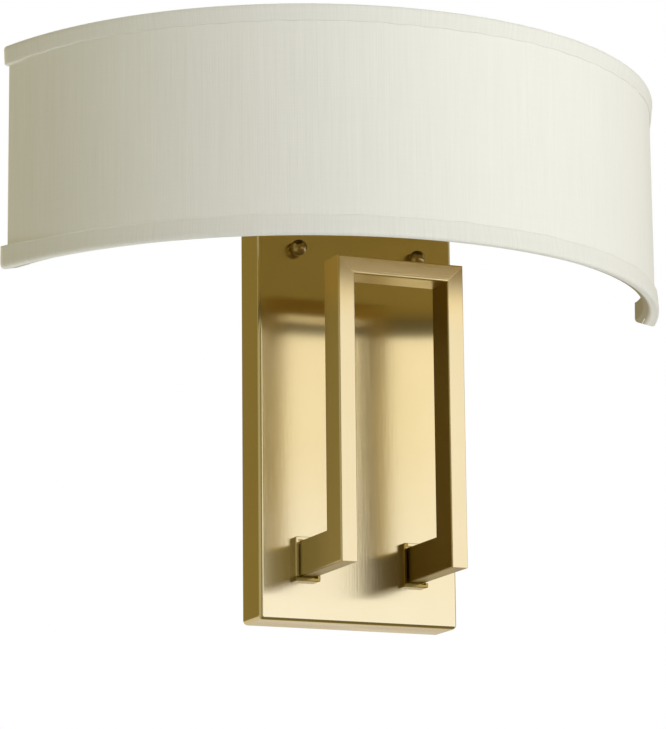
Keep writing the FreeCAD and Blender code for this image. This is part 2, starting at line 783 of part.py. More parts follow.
def right_shade_bracket():
    """A bent strip from the strap's end to the end wire of the shade."""
    owner = body("right_shade_bracket")
    sketch = sketch_on(owner, "XY_Plane", "bends", along="-strap_height / 2")
    tip = f"({END_WIRE_X} - wire_radius)"
    foot_back, foot_front = f"-({END_WIRE_Y} - bracket_sheet / 2)", f"-({END_WIRE_Y} + bracket_sheet / 2)"
    leg_inside = f"({BRACKET_OUTSIDE} - bracket_sheet)"
    inner_end = f"({BRACKET_OUTSIDE} - bracket_tab_length)"
    outline(sketch, [
        (tip, foot_back), (leg_inside, foot_back), (leg_inside, f"-{STRAP_FRONT}"),
        (inner_end, f"-{STRAP_FRONT}"), (inner_end, f"-{TAB_FRONT}"),
        (BRACKET_OUTSIDE, f"-{TAB_FRONT}"), (BRACKET_OUTSIDE, foot_front), (tip, foot_front),
    ])
    pad(owner, sketch, "strap_height")
    round_bends(owner, [(leg_inside, foot_back), (BRACKET_OUTSIDE, f"-{TAB_FRONT}")],
                [(leg_inside, f"-{STRAP_FRONT}"), (BRACKET_OUTSIDE, foot_front)])
    hole = sketch_on(owner, "XZ_Plane", "hole")
    circle(hole, SHADE_SCREW_X, "0", "screw_radius + bracket_hole_gap")
    pocket(owner, hole)
    return place(owner, z="strap_middle")


def right_thumb_screw():
    """A fluted head on a neck that bears on the bracket, and a shank into the rivet nut."""
    neck_end = "thumb_neck_height"
    head_end = "(thumb_neck_height + thumb_head_height)"
    owner = turned("right_thumb_screw", [
        ("thumb_shank", "0"),
        ("thumb_shank", "screw_radius"),
        ("0", "screw_radius"),
        ("0", "thumb_neck_radius"),
        (f"-{neck_end}", "thumb_neck_radius"),
        (f"-{neck_end}", "thumb_head_radius"),
        (f"-{head_end} + thumb_chamfer", "thumb_head_radius"),
        (f"-{head_end}", "thumb_head_radius - thumb_chamfer"),
        (f"-{head_end}", "0"),
    ], x=SHADE_SCREW_X, y=f"-({TAB_FRONT} + turning_gap)", z="strap_middle")
    flute = sketch_on(owner, "XZ_Plane", "flute", along=neck_end)
    circle(flute, "thumb_head_radius", "0", "thumb_groove_radius")
    first = pocket(owner, flute, "thumb_head_height")
    pattern = owner.newObject("PartDesign::PolarPattern", "right_thumb_screw_flutes")
    pattern.Originals = [first]
    pattern.Axis = (flute, ["N_Axis"])
    pattern.Angle = 360
    bind(pattern, Occurrences="thumb_grooves")
    owner.Tip = pattern
    return owner


def right_rivet_nut():
    corners = [("0", "screw_radius + thread_gap"), ("0", "rivet_nut_radius"),
               ("rivet_nut_length", "rivet_nut_radius"), ("rivet_nut_length", "screw_radius + thread_gap")]
    return turned("right_rivet_nut", corners, SHADE_SCREW_X, "-plate_depth", "strap_middle")


# Lamp bracket, lamp holders and bulbs


def lamp_bracket():
    """A channel: a base on the plate and two arms that hold the lamp holders' nipples."""
    owner = body("lamp_bracket")
    sketch = sketch_on(owner, "XY_Plane", "channel", along="lamp_height - lamp_bracket_height / 2")
    inside = f"({ARM_FACE} - lamp_bracket_sheet)"
    back, floor = "-plate_depth", "-(plate_depth + lamp_bracket_sheet)"
    tips = "-lamp_bracket_reach"
    outline(sketch, [
        (ARM_FACE, back), (f"-{ARM_FACE}", back), (f"-{ARM_FACE}", tips), (f"-{inside}", tips),
        (f"-{inside}", floor), (inside, floor), (inside, tips), (ARM_FACE, tips),
    ])
    pad(owner, sketch, "lamp_bracket_height")
    round_bends(owner, [(ARM_FACE, back), (f"-{ARM_FACE}", back)], [(inside, floor), (f"-{inside}", floor)])
    tip = -size("lamp_bracket_reach")
    round_edges(owner, "lamp_bracket_corner",
                lambda edge: runs_along(edge, "X") and edge.BoundBox.YMax < tip + 1e-4)
    arm_holes = sketch_on(owner, "YZ_Plane", "arm_holes")
    circle(arm_holes, "-lamp_reach", "lamp_height", "nipple_radius + hole_gap")
    pocket(owner, arm_holes)
    base_holes = sketch_on(owner, "XZ_Plane", "base_holes")
    circle(base_holes, "0", "lamp_height", "bush_radius + hole_gap")
    for sign in ("-", ""):
        circle(base_holes, f"{sign}lamp_screw_spacing / 2", "lamp_height", "screw_radius + hole_gap")
    pocket(owner, base_holes)
    return owner


def on_lamp_axis(label, corners):
    """A piece turned about the right-hand lamp's axis, measured from the middle of the fixture."""
    return turned(label, corners, "0", "-lamp_reach", "lamp_height", axis="X")


def right_nipple():
    start = f"({ARM_FACE} - lamp_bracket_sheet - nipple_outside)"
    end = f"({ARM_FACE} + nipple_inside)"
    return on_lamp_axis("right_nipple", [(start, "nipple_bore"), (end, "nipple_bore"),
                                         (end, "nipple_radius"), (start, "nipple_radius")])


def right_lamp_holder():
    """A moulded cup with a thicker lip, bored in its floor for the nipple and the leads."""
    recess_end = f"({ARM_FACE} + nipple_inside + nipple_end_gap)"
    nipple_hole = "nipple_radius + thread_gap"
    cavity = "holder_radius - holder_wall"
    lip = "holder_radius + holder_lip_extra"
    lip_start = f"{HOLDER_MOUTH} - holder_lip_height"
    return on_lamp_axis("right_lamp_holder", [
        (ARM_FACE, nipple_hole),
        (recess_end, nipple_hole),
        (recess_end, "nipple_bore"),
        (HOLDER_FLOOR, "nipple_bore"),
        (HOLDER_FLOOR, cavity),
        (HOLDER_MOUTH, cavity),
        (HOLDER_MOUTH, lip),
        (lip_start, lip),
        (f"{lip_start} - holder_lip_extra", "holder_radius"),
        (f"{ARM_FACE} + holder_shoulder", "holder_radius"),
        (ARM_FACE, "holder_radius - holder_shoulder"),
    ])


def right_screw_shell():
    end = f"({HOLDER_FLOOR} + shell_length)"
    return on_lamp_axis("right_screw_shell", [
        (HOLDER_FLOOR, "shell_radius - shell_sheet"), (end, "shell_radius - shell_sheet"),
        (end, "shell_radius"), (HOLDER_FLOOR, "shell_radius"),
    ])


def right_contact():
    end = f"({HOLDER_FLOOR} + contact_height)"
    return on_lamp_axis("right_contact", [(HOLDER_FLOOR, "0"), (end, "0"),
                                          (end, "contact_radius"), (HOLDER_FLOOR, "contact_radius")])


def right_bulb_cap():
    """A thin cup with a contact stud at its closed end."""
    tip = f"({CAP_START} - cap_tip_height)"
    return on_lamp_axis("right_bulb_cap", [
        (tip, "0"), (tip, "cap_tip_radius"), (CAP_START, "cap_tip_radius"),
        (f"{CAP_START} + cap_shoulder", CAP_RADIUS), (CAP_END, CAP_RADIUS),
        (CAP_END, f"{CAP_RADIUS} - cap_sheet"), (f"{CAP_START} + cap_shoulder", f"{CAP_RADIUS} - cap_sheet"),
        (f"{CAP_START} + cap_sheet", "cap_tip_radius - cap_sheet"), (f"{CAP_START} + cap_sheet", "0"),
    ])


def right_bulb():
    """Blown glass: a straight neck, a hollow curve and a ball, all of one wall."""
    neck, ball, blend = "bulb_neck_radius", "bulb_radius", "bulb_blend_radius"
    thin_neck, thin_ball = f"({neck} - bulb_wall)", f"({ball} - bulb_wall)"
    blend_z = f"({neck} + {blend})"
    blend_x = f"({CAP_END} + bulb_neck_length)"
    ball_x = f"({blend_x} + sqrt(({ball} + {blend}) ^ 2 - {blend_z} ^ 2))"
    share = f"({ball} / ({ball} + {blend}))"
    meet_x, meet_z = f"({ball_x} - ({ball_x} - {blend_x}) * {share})", f"({blend_z} * {share})"
    thin = f"({thin_ball} / ({ball} + {blend}))"
    thin_x, thin_z = f"({ball_x} - ({ball_x} - {blend_x}) * {thin})", f"({blend_z} * {thin})"
    return on_lamp_axis("right_bulb", [
        (CAP_END, neck),
        (CAP_END, thin_neck),
        (blend_x, thin_neck, blend_x, blend_z, 1),
        (thin_x, thin_z, ball_x, "0", -1),
        (f"{ball_x} + {thin_ball}", "0"),
        (f"{ball_x} + {ball}", "0", ball_x, "0", 1),
        (meet_x, meet_z, blend_x, blend_z, -1),
        (blend_x, neck),
    ])


# Leads and connectors inside the pan


def tube_along(points, radius):
    """A round tube along straight runs joined by tangent arcs. It prints the arcs' radii."""
    runs = [after - here for here, after in zip(points, points[1:])]
    edges, radii, start = [], [], points[0]
    for corner, before, after in zip(points[1:-1], runs, runs[1:]):
        reach = ARC_SHARE * min(before.Length, after.Length)
        bend = reach / math.tan(before.getAngle(after) / 2)
        enter = corner - before * (reach / before.Length)
        leave = corner + after * (reach / after.Length)
        inwards = (enter + leave) * 0.5 - corner
        middle = corner + inwards * ((math.hypot(bend, reach) - bend) / inwards.Length)
        edges += [Part.LineSegment(start, enter).toShape(), Part.Arc(enter, middle, leave).toShape()]
        radii.append(round(bend, 1))
        start = leave
    edges.append(Part.LineSegment(start, points[-1]).toShape())
    path = Part.Wire(edges)
    section = Part.Wire(Part.makeCircle(radius, points[0], runs[0]))
    solid = path.makePipeShell([section], True, False)
    share = solid.Volume / (math.pi * radius ** 2 * path.Length)
    print("lead bend radii", radii, "volume against section times length", round(share, 4))
    return solid


def lead(name, points):
    made = doc.addObject("Part::Feature", name)
    made.Shape = tube_along([vec(*(size(text) for text in point)) for point in points], size("lead_radius"))
    return made


def lamp_leads(label, level, depth, connector):
    """The two leads of one colour, each from a lamp holder through the bush and down to the connector."""
    made = []
    for hand, sign in (("left", "-1"), ("right", "1")):
        near = f"{sign} * lead_pitch / 2"
        end = f"{connector} + {near}"
        made.append(lead(f"{hand}_{label}", [
            (f"{sign} * {HOLDER_FLOOR}", "-lamp_reach", level),
            (near, "-lamp_reach", level),
            (near, f"-{depth}", level),
            (end, f"-{depth}", "connector_mouth + lead_drop"),
            (end, f"-{depth}", "connector_mouth - connector_bore_depth"),
        ]))
    return group(label, *made)


def earth_lead():
    """A bare lead clamped under the earth screw's head, led down into the middle connector."""
    x, y = "earth_screw_x - screw_radius - lead_radius - thread_gap", "-(bar_sheet + lead_radius)"
    made = lead("earth_lead", [
        (x, y, "earth_lead_end"),
        (x, y, "-bar_height / 2 - earth_lead_end"),
        ("0", "-connector_reach", "connector_mouth + earth_lead_end"),
        ("0", "-connector_reach", "connector_mouth - connector_bore_depth"),
    ])
    made.Label = "earth_lead"
    return made


def connector(name, x):
    """A tapered cap with its mouth upwards."""
    bore_end = "-connector_bore_depth"
    return turned(name, [
        ("0", "connector_bore"),
        (bore_end, "connector_bore"),
        (bore_end, "0"),
        ("-connector_height", "0"),
        ("-connector_height", "connector_end_radius"),
        ("0", "connector_radius"),
    ], x, "-connector_reach", "connector_mouth", axis="Z")


# The whole light

pieces = [
    back_plate(),
    mounting_bar(),
    u_frame(),
    shade_fabric(),
    shade_liner(),
    trim("top_trim", "shade_top", "-", "top_trim_height"),
    trim("bottom_trim", SHADE_BOTTOM, "+", "bottom_trim_height"),
    wire_ring("top_wire", TOP_WIRE_Z),
    wire_ring("bottom_wire", BOTTOM_WIRE_Z),
    carrier_strap(),
    lamp_bracket(),
    cable_bush(),
    screw("earth_screw", EARTH_SHANK, "earth_screw_x", "-(bar_sheet + 2 * lead_radius)", "0",
          "earth_head_radius"),
    lamp_leads("black_leads", "lamp_height - lead_pitch / 2", "(connector_reach + lead_layer)",
               "-connector_pitch"),
    lamp_leads("white_leads", "lamp_height + lead_pitch / 2", "(connector_reach - lead_layer)",
               "connector_pitch"),
    earth_lead(),
    group("wire_connectors", connector("black_connector", "-connector_pitch"),
          connector("earth_connector", "0"), connector("white_connector", "connector_pitch")),
    pair("mounting_studs", right_stud()),
    pair("stud_nuts", nut("right_stud_nut", "nut_half_width", "nut_height", "stud_radius + thread_gap",
                          "stud_spacing / 2", "-bar_sheet", "0")),
    pair("frame_collars", right_collar()),
    pair("tube_plugs", right_tube_plug()),
    pair("frame_screws", screw("right_frame_screw", f"{TUBE_SEAT} + plug_length - {PAN_INSIDE}",
                               LEG_MIDDLE, f"-{PAN_INSIDE}", RETURN_MIDDLE)),
    pair("strap_screws", screw("right_strap_screw", f"-({STRAP_FRONT} - {PAN_INSIDE} + {SCREW_PAST_NUT})",
                               "strap_screw_spacing / 2", f"-{STRAP_FRONT}", "strap_middle")),
    pair("strap_nuts", nut("right_strap_nut", "nut_half_width", "nut_height", "screw_radius + thread_gap",
                           "strap_screw_spacing / 2", f"-{PAN_INSIDE} + nut_height", "strap_middle")),
    pair("bracket_screws", screw("right_bracket_screw",
                                 f"-(plate_sheet + lamp_bracket_sheet + {SCREW_PAST_NUT})",
                                 "lamp_screw_spacing / 2", "-(plate_depth + lamp_bracket_sheet)",
                                 "lamp_height")),
    pair("bracket_nuts", nut("right_bracket_nut", "nut_half_width", "nut_height",
                             "screw_radius + thread_gap", "lamp_screw_spacing / 2",
                             f"-{PAN_INSIDE} + nut_height", "lamp_height")),
    pair("rivet_nuts", right_rivet_nut()),
    pair("holder_nipples", right_nipple()),
    pair("holder_nuts", nut("right_holder_nut", "holder_nut_half_width", "holder_nut_height",
                            "nipple_radius + thread_gap",
                            f"{ARM_FACE} - lamp_bracket_sheet - holder_nut_height",
                            "-lamp_reach", "lamp_height", "YZ_Plane")),
]
for make, right in (
        ("ball_nut", right_ball_nut), ("end_wire", right_end_wire), ("shade_bracket", right_shade_bracket),
        ("thumb_screw", right_thumb_screw), ("lamp_holder", right_lamp_holder),
        ("screw_shell", right_screw_shell), ("contact", right_contact), ("bulb_cap", right_bulb_cap),
        ("bulb", right_bulb)):
    source = right()
    pieces += [source, mirrored(f"left_{make}", source)]
doc.recompute()

failed = [item.Name for item in doc.Objects if {"Invalid", "Error"} & set(item.State)]
if failed:
    raise RuntimeError(f"features failed: {failed}")
os.makedirs("parts", exist_ok=True)
triangles = 0
for piece in pieces:
    shape = piece.Shape
    if shape.isNull() or not shape.isValid() or not shape.Solids:
        raise RuntimeError(f"{piece.Label} has no valid solid")
    triangles += len(shape.tessellate(0.2)[1])
for piece in pieces:
    piece.Shape.exportStep(f"parts/{piece.Label}.step")
print(len(pieces), "pieces,", triangles, "triangles")
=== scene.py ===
"""Wall light: a half-round linen shade on a satin brass pan, with an inverted U of flat tube in front.

Everything is in metres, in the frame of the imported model: +X right, +Y into the wall and +Z up.
"""
import json
import math

import bpy
import numpy as np
from mathutils import Matrix, Vector


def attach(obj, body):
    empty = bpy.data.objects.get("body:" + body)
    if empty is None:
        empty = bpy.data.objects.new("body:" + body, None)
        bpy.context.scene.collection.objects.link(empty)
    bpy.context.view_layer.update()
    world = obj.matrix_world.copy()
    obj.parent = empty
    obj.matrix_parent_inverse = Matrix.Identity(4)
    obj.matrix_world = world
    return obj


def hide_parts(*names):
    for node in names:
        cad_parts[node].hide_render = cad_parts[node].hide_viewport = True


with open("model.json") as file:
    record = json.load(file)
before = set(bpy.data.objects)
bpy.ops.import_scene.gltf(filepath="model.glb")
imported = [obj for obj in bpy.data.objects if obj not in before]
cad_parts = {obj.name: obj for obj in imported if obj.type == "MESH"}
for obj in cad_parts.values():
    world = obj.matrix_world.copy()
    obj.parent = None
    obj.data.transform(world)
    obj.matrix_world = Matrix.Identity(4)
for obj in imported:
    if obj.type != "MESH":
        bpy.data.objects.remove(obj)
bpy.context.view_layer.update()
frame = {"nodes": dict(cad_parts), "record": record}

FIXTURE = "fixture"

# The shade's own sizes, as in the solids. Between the notch's heights the hems leave room for the brackets
AXIS_Y = 0.0622
SHADE_RADIUS = 0.2032
SHADE_TOP, SHADE_BOTTOM = 0.1035, -0.0197
REAR_GAP = 0.001
CLOTH_THICKNESS = 0.0005
CLOTH_RADIUS, HEM_RADIUS = 0.2013, 0.1967
HEM_LENGTH = 0.012
EDGE_INSET = 0.00125
CLOTH_LOW, CLOTH_HIGH = SHADE_BOTTOM + EDGE_INSET, SHADE_TOP - EDGE_INSET
NOTCH = 0.0695, 0.0915

# The trim's section: its thickness, how far its free edges stand out of the cloth and inside the hem, and
# the lengths of the roll at the shade's edge and of the smaller turn inside it
TRIM_THICKNESS = 0.0005
OUTER_PROUD, INNER_PROUD = 0.0001, 0.0008
ROLL, TURN = 0.0026, 0.0017

# How far the outer leaf still leans where the roll starts, how far the inner leaf leans, and the height of
# the underside where the roll ends and where the turn starts
OUTER_LEAN, INNER_LEAN = 0.00005, 0.0002
ROLL_RISE, TURN_RISE = 0.0002, 0.0014

# Points along each stretch of the cloth and of the trim
ARC_POINTS, BEND_POINTS, HEM_POINTS = 90, 9, 10
CLOTH_LEVELS = 41
OUTER_LEAF_POINTS, ROLL_POINTS, TURN_POINTS, INNER_LEAF_POINTS = 14, 12, 8, 8
TRIM_STEPS = 181

# How the trim's free edge wanders: the usual height of a wave, and how many waves go into half the strip
WAVE_HEIGHT = 0.0001
WAVES = 2, 5, 9, 14

# The inverted U's own places: the inner corner seen from the front, and the lowest edge at its front
INNER_CORNER_X, INNER_CORNER_Z = 0.0265, -0.0260
FOOT_Y, FOOT_Z = -0.0828, -0.1785

# Where the U's painted light changes: painted shade sideways and upwards off its inner and lowest faces,
# and a painted reflection up the legs' tops towards the top bar
SHADE_BETWEEN_LEGS = INNER_CORNER_X + 0.0005, INNER_CORNER_X + 0.0001
SHADE_UNDERNEATH = FOOT_Z + 0.0004, FOOT_Z + 0.0001
REFLECTION_UP_LEGS = -0.056, -0.028


def add_object(name, data):
    """A new object at the origin, linked to the scene."""
    made = bpy.data.objects.new(name, data)
    bpy.context.scene.collection.objects.link(made)
    return made


# Camera


def aim_camera():
    """The photograph's view: the place, the look direction, its roll, the lens and the shift of the fit."""
    place = Vector((-0.7559, -1.7448, -0.4663))
    look = Vector((0.37009, 0.90419, 0.21325)).normalized()
    roll = -0.0062
    right = look.cross(Vector((0, 0, 1))).normalized()
    up = right.cross(look)
    right, up = (math.cos(roll) * right + math.sin(roll) * up,
                 math.cos(roll) * up - math.sin(roll) * right)
    data = bpy.data.cameras.new("camera")
    data.sensor_width = 36
    data.lens = 176.36
    data.shift_x, data.shift_y = 0.08857, -0.01082
    data.clip_end = 50
    camera = add_object("camera", data)
    turn = Matrix((right, up, -look)).transposed().to_4x4()
    camera.matrix_world = Matrix.Translation(place) @ turn
    bpy.context.scene.camera = camera


aim_camera()


# Shader maths


class Socket:
    """An output of a node. Arithmetic on it adds Math nodes."""

    def __init__(self, tree, output):
        self.tree = tree
        self.output = output

    def maths(self, operation, *values):
        return self.tree.node("ShaderNodeMath", {"operation": operation}, values)

    def __add__(self, other):
        return self.maths("ADD", self, other)

    __radd__ = __add__

    def __sub__(self, other):
        return self.maths("SUBTRACT", self, other)

    def __rsub__(self, other):
        return self.maths("SUBTRACT", other, self)

    def __mul__(self, other):
        return self.maths("MULTIPLY", self, other)

    __rmul__ = __mul__

    def __abs__(self):
        return self.maths("ABSOLUTE", self)

    def sine(self):
        return self.maths("SINE", self)

    def least(self, other):
        return self.maths("MINIMUM", self, other)

    def most(self, other):
        return self.maths("MAXIMUM", self, other)

    def step(self, low, high):
        """0 below low and 1 above high, or the other way round, with a smooth ramp between."""
        return self.tree.node("ShaderNodeMapRange", {"interpolation_type": "SMOOTHSTEP"},
                              {"Value": self, "From Min": low, "From Max": high})

    def spread(self):
        """A noise's usual range made 0 to 1."""
        return self.step(0.3, 0.7)


class Tree:
    """A node tree and the one method that adds nodes to it."""

    def __init__(self, owner):
        owner.use_nodes = True
        self.node_tree = owner.node_tree
        self.node_tree.nodes.clear()

    def node(self, kind, settings=None, inputs=(), output=0):
        """Add a node: its settings first, then its inputs by place or name. Returns one output."""
        made = self.node_tree.nodes.new(kind)
        for name, value in (settings or {}).items():
            setattr(made, name, value)
        pairs = inputs.items() if isinstance(inputs, dict) else enumerate(inputs)
        for key, value in pairs:
            if isinstance(value, Socket):
                self.node_tree.links.new(value.output, made.inputs[key])
            else:
                made.inputs[key].default_value = value
        return Socket(self, made.outputs[output]) if made.outputs else None

    def mix(self, factor, first, second):
        """One colour to another by a factor."""
        return self.node("ShaderNodeMix", {"data_type": "RGBA"}, {0: factor, 6: first, 7: second}, 2)

    def parts(self, vector):
        """The three numbers of a vector."""
        split = self.node("ShaderNodeSeparateXYZ", None, (vector,)).output.node
        return [Socket(self, output) for output in split.outputs]

    def noise(self, vector, per_metre, detail=3, roughness=0.5):
        """Noise with so many cells per metre along each of the vector's directions."""
        scaled = self.node("ShaderNodeVectorMath", {"operation": "MULTIPLY"}, (vector, per_metre))
        return self.node("ShaderNodeTexNoise", None,
                         {"Vector": scaled, "Scale": 1.0, "Detail": detail, "Roughness": roughness})

    def rays(self, kind):
        """1 for the rays of one kind, such as Camera or Glossy, and 0 for the others."""
        return self.node("ShaderNodeLightPath", output="Is " + kind + " Ray")


class Finish(Tree):
    """A material. Object coordinates are in metres, and so is a cloth's own map."""

    def __init__(self, name):
        self.material = bpy.data.materials.new(name)
        super().__init__(self.material)
        self.place = self.node("ShaderNodeTexCoord", output="Object")

    def cloth_map(self):
        return self.node("ShaderNodeUVMap", {"uv_map": "cloth"})

    def bump(self, height, distance):
        return self.node("ShaderNodeBump", None, {"Strength": 1.0, "Distance": distance, "Height": height})

    def surface(self, **sockets):
        """The Principled shader, with an underscore for each space in a socket's name."""
        values = {name.replace("_", " "): value for name, value in sockets.items()}
        shader = self.node("ShaderNodeBsdfPrincipled", None, values)
        self.node("ShaderNodeOutputMaterial", None, {"Surface": shader})
        return self.material


def colour(red, green, blue):
    """A colour written as it looks on the screen, 0 to 255, made linear."""
    shown = np.array((red, green, blue)) / 255
    linear = np.where(shown <= 0.04045, shown / 12.92, ((shown + 0.055) / 1.055) ** 2.4)
    return (*linear, 1.0)


# Finishes

# Brushed lines per metre across and along their run, and half the ramp from one run to the next
LINES_ACROSS, LINES_ALONG = 2200, 30
HAIRLINE = 0.0001

# The linen's yarns, and where on its own map a trim strip turns into its inner leaf
WARP_PITCH, WEFT_PITCH = 0.00062, 0.00058
INNER_LEAF = 0.0130, 0.0150

# The cross in a screw head: the ramps at its sides and at its ends, and its depth in bumps of this height
CROSS_SIDES, CROSS_ENDS = (0.00045, 0.0003), (0.0021, 0.0019)
CROSS_DEPTH = 12
CROSS_BUMP = 0.00003

# Screw heads with a cross: how far their axes lie to either side of the middle, and their height
EARTH_SCREW = 0.017, 0.0
SCREWS = {"strap_screws": (0.040, 0.0805), "bracket_screws": (0.012, 0.038),
          "frame_screws": (0.03125, -0.168975)}

# A darker and a lighter tone of each
BRASS = colour(213, 199, 146), colour(217, 203, 152)
TUBE_BRASS = colour(217, 203, 151), colour(221, 207, 157)
# The ball nuts' brass is a darker copy of the same brass: painted shade, as they sit under the shade
SHADED_NUT_TONES = colour(166, 143, 86), colour(172, 149, 92)
LINEN = colour(237, 237, 229), colour(244, 244, 237)
TRIM_LINEN = colour(231, 231, 223), colour(241, 241, 234)

# Painted light: a lighter, warmer reflection painted on the U's top, painted shade on its faces between
# the legs and underneath, and painted shade on the trim's inner leaf inside the shade
PAINTED_REFLECTION_BRASS, PAINTED_SHADE_BRASS = colour(240, 216, 146), colour(148, 126, 58)
PAINTED_SHADE_LINEN = colour(162, 151, 124)


def satin_brass(name, dark, light, brushed, rough, spread, painted_light=None):
    """Lacquered brass, brushed so finely that the lines only spread its reflections to their sides.

    One function draws the brushed lines, and another, where there is one, paints light and shade by place.
    """
    make = Finish(name)
    slow = make.noise(make.place, (14, 14, 9), detail=4)
    lines = brushed(make)
    tone = make.mix(slow.step(0.35, 0.65), dark, light)
    if painted_light:
        tone = painted_light(make, tone)
    return make.surface(Base_Color=tone, Metallic=1.0, Anisotropic=spread,
                        Roughness=rough + 0.02 * slow.spread() + 0.02 * lines,
                        Normal=make.bump(lines, 0.00003))


def brushed_upright(make):
    """Lines that run straight up."""
    return make.noise(make.place, (LINES_ACROSS, LINES_ACROSS, LINES_ALONG), detail=2)


def past_mitre(across, height):
    """How far a place on the U is past its mitres: above 0 on the top bar and below 0 on the legs."""
    return (height - INNER_CORNER_Z) - (abs(across) - INNER_CORNER_X)


def brushed_along_tube(make):
    """Lines along each length of the U: its legs, its top as far as the mitres, and its returns.

    Those of the top are three times as strong.
    """
    across, depth, height = make.parts(make.place)
    past_foot = (depth - FOOT_Y) - (height - FOOT_Z)
    in_top = past_mitre(across, height).step(-HAIRLINE, HAIRLINE)
    in_return = past_foot.step(-HAIRLINE, HAIRLINE)
    legs = brushed_upright(make)
    top = make.noise(make.place, (LINES_ALONG, LINES_ACROSS, LINES_ACROSS), detail=2)
    returns = make.noise(make.place, (LINES_ACROSS, LINES_ALONG, LINES_ACROSS), detail=2)
    lines = legs + in_top * (3.0 * top - legs)
    return lines + in_return * (returns - lines)


def tube_painted_light(make, tone):
    """Painted light on the U and its collars: a reflection painted lighter and warmer towards the top bar,

    and painted shade on the faces between the legs, below the mitres, and on the faces underneath.
    """
    across, _, height = make.parts(make.place)
    # Painted shade between the legs and underneath, and a painted reflection up towards the top bar
    shade_between_legs = past_mitre(across, height).step(HAIRLINE, -HAIRLINE) * abs(across).step(*SHADE_BETWEEN_LEGS)
    tone = make.mix(height.step(*REFLECTION_UP_LEGS), tone, PAINTED_REFLECTION_BRASS)
    return make.mix(shade_between_legs.most(height.step(*SHADE_UNDERNEATH)), tone, PAINTED_SHADE_BRASS)


def linen(name, dark, light, along, inner_shade_tone=None):
    """Plain linen: yarns up and across, thick slubs along the warp, and uneven bleaching.

    The number along is that of slubs in a metre of warp. A strip's inner leaf is darkened with painted
    shade, from where the strip has gone round the shade's edge.
    """
    make = Finish(name)
    cloth = make.cloth_map()
    across, up, _ = make.parts(cloth)
    warp = (across * (2 * math.pi / WARP_PITCH)).sine()
    weft = (up * (2 * math.pi / WEFT_PITCH)).sine()
    weave = abs(warp).most(abs(weft))
    fine = make.noise(cloth, (1500, along, 1))
    broad = make.noise(cloth, (420, along * 0.4, 1), detail=2)
    cross = make.noise(cloth, (30, 1300, 1), detail=2)
    patch = make.noise(cloth, (12, 12, 1), detail=2)
    slub = 0.55 * fine.spread() + 0.3 * broad.spread() + 0.15 * cross.spread()
    tone = make.mix(slub, dark, light)
    tone = make.mix(patch.spread(), tone, make.mix(0.35, tone, light))
    if inner_shade_tone:
        tone = make.mix(up.step(*INNER_LEAF), tone, inner_shade_tone)
    return make.surface(Base_Color=tone, Roughness=0.88 + 0.08 * slub, Sheen_Weight=0.15,
                        Sheen_Roughness=0.5, Specular_IOR_Level=0.25,
                        Normal=make.bump(0.15 * weave + 0.55 * slub, 0.00009))


def styrene_liner():
    """The shade's stiff inner sheet: a satin cream with a faint orange-peel."""
    make = Finish("white_liner")
    peel = make.noise(make.place, (900, 900, 900), detail=2)
    slow = make.noise(make.place, (25, 25, 25))
    tone = make.mix(slow.spread(), colour(227, 205, 140), colour(233, 213, 152))
    return make.surface(Base_Color=tone, Roughness=0.42 + 0.1 * peel, Normal=make.bump(peel, 0.00001))


def white_paint():
    """Powder coat on the wires, strap and brackets, thinner and greyer along scuffs."""
    make = Finish("white_paint")
    peel = make.noise(make.place, (1400, 1400, 1400), detail=2)
    scuff = make.noise(make.place, (60, 60, 240), detail=5, roughness=0.7).step(0.66, 0.74)
    tone = make.mix(scuff, colour(228, 226, 219), colour(196, 193, 185))
    return make.surface(Base_Color=tone, Roughness=0.38 + 0.12 * peel + 0.15 * scuff,
                        Normal=make.bump(peel, 0.00002))


def cross_recess(make, x, z):
    """1 inside the cross cut in a screw head at plus or minus x, and 0 outside it."""
    across, _, height = make.parts(make.place)
    off_x, off_z = abs(abs(across) - x), abs(height - z)
    return off_x.least(off_z).step(*CROSS_SIDES) * off_x.most(off_z).step(*CROSS_ENDS)


def zinc(name, screw=None):
    """Bright zinc plating with a spangle of small grains, and painted shade in the screw heads' cross."""
    make = Finish(name)
    grain = make.noise(make.place, (1100, 1100, 1100))
    slow = make.noise(make.place, (90, 90, 90))
    tone = make.mix(slow.spread(), colour(176, 178, 180), colour(196, 196, 192))
    height = 0.1 * grain
    if screw:
        cut = cross_recess(make, *screw)
        # The cross's recess is darkened with painted shade
        tone = make.mix(cut, tone, colour(62, 62, 62))
        height = height - CROSS_DEPTH * cut
    return make.surface(Base_Color=tone, Metallic=1.0, Roughness=0.3 + 0.12 * slow + 0.08 * grain,
                        Normal=make.bump(height, CROSS_BUMP))


def green_screw():
    """Zinc dyed green, with painted shade in the cross of its driver."""
    make = Finish("green_screw")
    slow = make.noise(make.place, (300, 300, 300))
    cut = cross_recess(make, *EARTH_SCREW)
    tone = make.mix(slow.spread(), colour(38, 112, 60), colour(52, 136, 76))
    # The cross's recess is darkened with painted shade
    tone = make.mix(cut, tone, colour(14, 40, 22))
    return make.surface(Base_Color=tone, Metallic=0.7, Roughness=0.32 + 0.1 * slow,
                        Normal=make.bump(0.1 * slow - CROSS_DEPTH * cut, CROSS_BUMP))


def turned_metal(name, dark, light, rough):
    """Bare brass, copper or aluminium that shows fine turning or drawing marks."""
    make = Finish(name)
    marks = make.noise(make.place, (4000, 300, 4000), detail=2)
    slow = make.noise(make.place, (70, 70, 70))
    return make.surface(Base_Color=make.mix(slow.spread(), dark, light), Metallic=1.0,
                        Roughness=rough + 0.1 * marks + 0.06 * slow, Normal=make.bump(marks, 0.000008))


